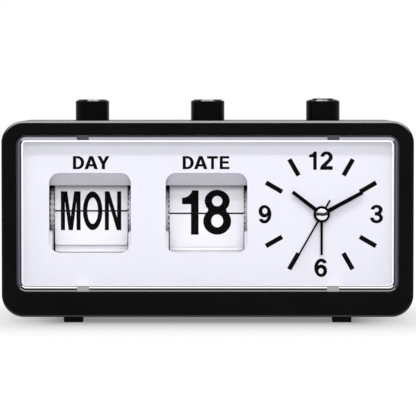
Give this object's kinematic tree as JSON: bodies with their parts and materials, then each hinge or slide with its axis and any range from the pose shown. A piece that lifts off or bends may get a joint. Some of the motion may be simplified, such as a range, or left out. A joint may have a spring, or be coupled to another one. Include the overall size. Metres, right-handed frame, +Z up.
{
  "type": "dementia day clock",
  "caption": "Wide desk clock with flip-card weekday and date windows, an analogue alarm dial and push buttons along its top.",
  "frame": {"origin": "under the middle of the clock, on the surface that it stands on", "axes": "+Z up, +X to the right of someone who reads the clock, the dial faces -Y"},
  "size_m": [0.21, 0.07, 0.1144],
  "materials": {
    "housing_black": "satin black moulded plastic",
    "button_black": "satin black moulded plastic",
    "foot_black": "black rubber",
    "lens_clear": "clear moulded plastic",
    "dial_white": "satin white moulded plastic",
    "frame_black": "black moulded plastic",
    "wheel_white": "white moulded plastic",
    "ratchet_grey": "grey moulded plastic",
    "card_white": "printed plastic card",
    "spring_steel": "bare spring steel",
    "hand_black": "matt black paint",
    "cap_chrome": "bright",
    "pipe_brass": "bare",
    "board_green": "circuit board",
    "cell_sleeve": "plain battery sleeve"
  },
  "bodies": {
    "base": {"case_shell": "housing_black", "feet": "foot_black", "lens": "lens_clear", "dial_plate": "dial_white", "day_frame": "frame_black", "date_frame": "frame_black", "snooze_board": "board_green", "snooze_switch": "frame_black", "movement_housing": "frame_black", "rear_cover": "frame_black", "battery_cells": "cell_sleeve", "battery_contacts": "spring_steel", "alarm_buzzer": "pipe_brass", "alarm_switch": "frame_black", "cover_screws": "spring_steel", "day_button_spring": "spring_steel", "date_button_spring": "spring_steel", "snooze_button_spring": "spring_steel"},
    "day_key": {"day_button": "button_black", "day_push_arm": "ratchet_grey"},
    "day_wheel_unit": {"day_wheel": "wheel_white", "day_ratchet": "ratchet_grey", "day_card_pack": "card_white"},
    "day_card_top_leaf": {"day_card_top": "card_white"},
    "day_card_next_leaf": {"day_card_next": "card_white"},
    "day_card_low_leaf": {"day_card_low": "card_white"},
    "day_card_under_leaf": {"day_card_under": "card_white"},
    "date_key": {"date_button": "button_black", "date_push_arm": "ratchet_grey"},
    "date_wheel_unit": {"date_wheel": "wheel_white", "date_ratchet": "ratchet_grey", "date_card_pack": "card_white"},
    "date_card_top_leaf": {"date_card_top": "card_white"},
    "date_card_next_leaf": {"date_card_next": "card_white"},
    "date_card_low_leaf": {"date_card_low": "card_white"},
    "date_card_under_leaf": {"date_card_under": "card_white"},
    "date_card_third_leaf": {"date_card_third": "card_white"},
    "snooze_key": {"snooze_button": "button_black", "snooze_plunger": "dial_white"},
    "minute_hand_unit": {"minute_pipe": "pipe_brass", "minute_hand": "hand_black"},
    "hour_hand_unit": {"hour_pipe": "ratchet_grey", "hour_hand": "hand_black"},
    "second_hand_unit": {"second_arbor": "spring_steel", "second_hand": "hand_black", "second_hand_cap": "cap_chrome"},
    "alarm_hand_unit": {"alarm_pipe": "ratchet_grey", "alarm_hand": "hand_black"},
    "time_knob_unit": {"time_knob": "button_black"},
    "alarm_knob_unit": {"alarm_knob": "button_black"},
    "alarm_slide_unit": {"alarm_slide": "dial_white"},
    "battery_door_unit": {"battery_door": "frame_black"}
  },
  "joints": [
    {"name": "day_button_press", "type": "slide", "parent": "base", "child": "day_key", "axis": [0, 0, -1], "range_m": [0, 0.003], "stiffness_N_per_m": 200, "springref_m": -0.004, "deforming": ["day_button_spring"]},
    {"name": "day_wheel_step", "type": "hinge", "parent": "base", "child": "day_wheel_unit", "pos_m": [-0.0604, 0, 0.0561], "axis": [1, 0, 0], "range_deg": [0, 25.76]},
    {"name": "day_card_top_flip", "type": "hinge", "parent": "day_wheel_unit", "child": "day_card_top_leaf", "pos_m": [-0.0604, -0.00905, 0.05816], "axis": [1, 0, 0], "range_deg": [0, 154.34]},
    {"name": "day_card_next_swing", "type": "hinge", "parent": "day_wheel_unit", "child": "day_card_next_leaf", "pos_m": [-0.0604, -0.00726, 0.06189], "axis": [1, 0, 0], "range_deg": [-25.76, 0]},
    {"name": "day_card_low_swing", "type": "hinge", "parent": "day_wheel_unit", "child": "day_card_low_leaf", "pos_m": [-0.0604, -0.00905, 0.05404], "axis": [1, 0, 0], "range_deg": [-25.76, 0]},
    {"name": "day_card_under_swing", "type": "hinge", "parent": "day_wheel_unit", "child": "day_card_under_leaf", "pos_m": [-0.0604, -0.00726, 0.05031], "axis": [1, 0, 0], "range_deg": [-25.76, 0]},
    {"name": "date_button_press", "type": "slide", "parent": "base", "child": "date_key", "axis": [0, 0, -1], "range_m": [0, 0.003], "stiffness_N_per_m": 200, "springref_m": -0.004, "deforming": ["date_button_spring"]},
    {"name": "date_wheel_step", "type": "hinge", "parent": "base", "child": "date_wheel_unit", "pos_m": [-0.0005, 0, 0.0548], "axis": [1, 0, 0], "range_deg": [0, 11.66]},
    {"name": "date_card_top_flip", "type": "hinge", "parent": "date_wheel_unit", "child": "date_card_top_leaf", "pos_m": [-0.0005, -0.00923, 0.05574], "axis": [1, 0, 0], "range_deg": [0, 168.44]},
    {"name": "date_card_next_swing", "type": "hinge", "parent": "date_wheel_unit", "child": "date_card_next_leaf", "pos_m": [-0.0005, -0.00885, 0.05758], "axis": [1, 0, 0], "range_deg": [-11.66, 0]},
    {"name": "date_card_low_swing", "type": "hinge", "parent": "date_wheel_unit", "child": "date_card_low_leaf", "pos_m": [-0.0005, -0.00923, 0.05386], "axis": [1, 0, 0], "range_deg": [-11.66, 0]},
    {"name": "date_card_under_swing", "type": "hinge", "parent": "date_wheel_unit", "child": "date_card_under_leaf", "pos_m": [-0.0005, -0.00885, 0.05202], "axis": [1, 0, 0], "range_deg": [-11.66, 0]},
    {"name": "date_card_third_swing", "type": "hinge", "parent": "date_wheel_unit", "child": "date_card_third_leaf", "pos_m": [-0.0005, -0.00811, 0.0503], "axis": [1, 0, 0], "range_deg": [-11.66, 0]},
    {"name": "snooze_button_press", "type": "slide", "parent": "base", "child": "snooze_key", "axis": [0, 0, -1], "range_m": [0, 0.0015], "stiffness_N_per_m": 200, "springref_m": -0.004, "deforming": ["snooze_button_spring"]},
    {"name": "minute_hand_turn", "type": "hinge", "parent": "base", "child": "minute_hand_unit", "pos_m": [0.0584, 0, 0.0552], "axis": [0, 1, 0], "continuous": true},
    {"name": "hour_hand_turn", "type": "hinge", "parent": "base", "child": "hour_hand_unit", "pos_m": [0.0584, 0, 0.0552], "axis": [0, 1, 0], "continuous": true},
    {"name": "second_hand_turn", "type": "hinge", "parent": "base", "child": "second_hand_unit", "pos_m": [0.0584, 0, 0.0552], "axis": [0, 1, 0], "continuous": true},
    {"name": "alarm_hand_turn", "type": "hinge", "parent": "base", "child": "alarm_hand_unit", "pos_m": [0.0584, 0, 0.0552], "axis": [0, 1, 0], "continuous": true},
    {"name": "time_knob_turn", "type": "hinge", "parent": "base", "child": "time_knob_unit", "pos_m": [0.0584, 0, 0.0552], "axis": [0, 1, 0], "continuous": true},
    {"name": "alarm_knob_turn", "type": "hinge", "parent": "base", "child": "alarm_knob_unit", "pos_m": [0.082, 0, 0.066], "axis": [0, 1, 0], "continuous": true},
    {"name": "alarm_slide_move", "type": "slide", "parent": "base", "child": "alarm_slide_unit", "axis": [1, 0, 0], "range_m": [0, 0.004]},
    {"name": "battery_door_turn", "type": "hinge", "parent": "base", "child": "battery_door_unit", "pos_m": [0.059, 0.03405, 0.00845], "axis": [-1, 0, 0], "range_deg": [0, 90]}
  ],
  "couplings": [
    {"joint": "day_wheel_step", "follows": "day_button_press", "rad_per_m": 149.6},
    {"joint": "day_card_top_flip", "follows": "day_button_press", "rad_per_m": 897.6},
    {"joint": "day_card_next_swing", "follows": "day_button_press", "rad_per_m": -149.6},
    {"joint": "day_card_low_swing", "follows": "day_button_press", "rad_per_m": -149.6},
    {"joint": "day_card_under_swing", "follows": "day_button_press", "rad_per_m": -149.6},
    {"joint": "date_wheel_step", "follows": "date_button_press", "rad_per_m": 67.561},
    {"joint": "date_card_top_flip", "follows": "date_button_press", "rad_per_m": 979.64},
    {"joint": "date_card_next_swing", "follows": "date_button_press", "rad_per_m": -67.561},
    {"joint": "date_card_low_swing", "follows": "date_button_press", "rad_per_m": -67.561},
    {"joint": "date_card_under_swing", "follows": "date_button_press", "rad_per_m": -67.561},
    {"joint": "date_card_third_swing", "follows": "date_button_press", "rad_per_m": -67.561},
    {"joint": "hour_hand_turn", "follows": "minute_hand_turn", "ratio": 0.083333},
    {"joint": "time_knob_turn", "follows": "minute_hand_turn", "ratio": 1},
    {"joint": "alarm_knob_turn", "follows": "alarm_hand_turn", "ratio": -3}
  ]
}
